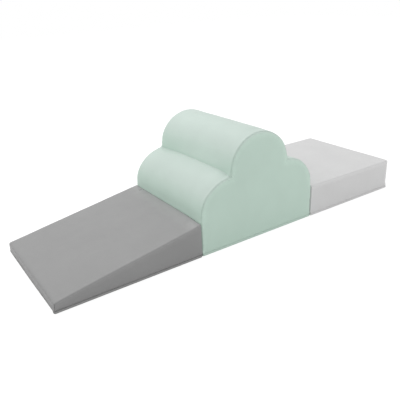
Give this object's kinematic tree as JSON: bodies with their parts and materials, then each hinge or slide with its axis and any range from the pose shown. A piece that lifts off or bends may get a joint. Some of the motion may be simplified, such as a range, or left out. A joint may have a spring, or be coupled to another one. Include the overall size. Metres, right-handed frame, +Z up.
{
  "type": "soft play foam climber",
  "caption": "Row of loose foam blocks for climbing: a wedge ramp, a cloud-shaped bump and a flat platform, each in a zipped cover and joined by hook and loop strips.",
  "frame": {"origin": "on the floor under the middle of the row", "axes": "+X along the row from the ramp's nose to the platform's end, +Y towards the far side with the zips, +Z up"},
  "size_m": [1.978, 0.6095, 0.511],
  "materials": {
    "ramp_cover": "matte coated fabric, mid grey",
    "cloud_cover": "matte coated fabric, mint green",
    "platform_cover": "matte coated fabric, pale grey",
    "non_slip_base": "non-slip fabric, dark grey",
    "foam": "open-cell foam, off-white",
    "zip_tape": "woven zip tape",
    "zip_coil": "moulded coil",
    "zip_metal": "satin plated",
    "hook_and_loop": "hook and loop tape"
  },
  "bodies": {
    "ramp": {"ramp_base_binding": "ramp_cover", "ramp_base_panel": "non_slip_base", "ramp_far_side_panel": "ramp_cover", "ramp_foam_core": "foam", "ramp_loop_strip": "hook_and_loop", "ramp_near_side_panel": "ramp_cover", "ramp_wrap_cover": "ramp_cover", "ramp_zip_closed_stop": "zip_metal", "ramp_zip_lower_coil": "zip_coil", "ramp_zip_lower_tape": "zip_tape", "ramp_zip_open_stop": "zip_metal", "ramp_zip_upper_coil": "zip_coil", "ramp_zip_upper_tape": "zip_tape"},
    "cloud": {"cloud_base_binding": "cloud_cover", "cloud_base_panel": "non_slip_base", "cloud_far_side_panel": "cloud_cover", "cloud_foam_core": "foam", "cloud_hook_strip_platform_end": "hook_and_loop", "cloud_hook_strip_ramp_end": "hook_and_loop", "cloud_near_side_panel": "cloud_cover", "cloud_wrap_cover": "cloud_cover", "cloud_zip_closed_stop": "zip_metal", "cloud_zip_lower_coil": "zip_coil", "cloud_zip_lower_tape": "zip_tape", "cloud_zip_open_stop": "zip_metal", "cloud_zip_upper_coil": "zip_coil", "cloud_zip_upper_tape": "zip_tape"},
    "platform": {"platform_base_binding": "platform_cover", "platform_base_panel": "non_slip_base", "platform_far_side_panel": "platform_cover", "platform_foam_core": "foam", "platform_loop_strip": "hook_and_loop", "platform_near_side_panel": "platform_cover", "platform_wrap_cover": "platform_cover", "platform_zip_closed_stop": "zip_metal", "platform_zip_lower_coil": "zip_coil", "platform_zip_lower_tape": "zip_tape", "platform_zip_open_stop": "zip_metal", "platform_zip_upper_coil": "zip_coil", "platform_zip_upper_tape": "zip_tape"},
    "ramp_zip_slider": {"ramp_zip_slider": "zip_metal"},
    "ramp_zip_pull": {"ramp_zip_pull": "zip_metal"},
    "cloud_zip_slider": {"cloud_zip_slider": "zip_metal"},
    "cloud_zip_pull": {"cloud_zip_pull": "zip_metal"},
    "platform_zip_slider": {"platform_zip_slider": "zip_metal"},
    "platform_zip_pull": {"platform_zip_pull": "zip_metal"}
  },
  "joints": [
    {"name": "ramp_release", "type": "slide", "parent": "cloud", "child": "ramp", "axis": [-1, 0, 0], "range_m": [0, 0.3]},
    {"name": "platform_release", "type": "slide", "parent": "cloud", "child": "platform", "axis": [1, 0, 0], "range_m": [0, 0.3]},
    {"name": "ramp_zip_travel", "type": "slide", "parent": "ramp", "child": "ramp_zip_slider", "axis": [-1, 0, 0], "range_m": [0, 0.5688]},
    {"name": "ramp_zip_pull_swing", "type": "hinge", "parent": "ramp_zip_slider", "child": "ramp_zip_pull", "pos_m": [-0.3616, 0.30335, 0.0153], "axis": [0, 0, -1], "range_deg": [0, 175]},
    {"name": "cloud_zip_travel", "type": "slide", "parent": "cloud", "child": "cloud_zip_slider", "axis": [-1, 0, 0], "range_m": [0, 0.5608]},
    {"name": "cloud_zip_pull_swing", "type": "hinge", "parent": "cloud_zip_slider", "child": "cloud_zip_pull", "pos_m": [0.3134, 0.30335, 0.0153], "axis": [0, 0, -1], "range_deg": [0, 175]},
    {"name": "platform_zip_travel", "type": "slide", "parent": "platform", "child": "platform_zip_slider", "axis": [-1, 0, 0], "range_m": [0, 0.5028]},
    {"name": "platform_zip_pull_swing", "type": "hinge", "parent": "platform_zip_slider", "child": "platform_zip_pull", "pos_m": [0.9304, 0.30335, 0.0153], "axis": [0, 0, -1], "range_deg": [0, 175]}
  ]
}
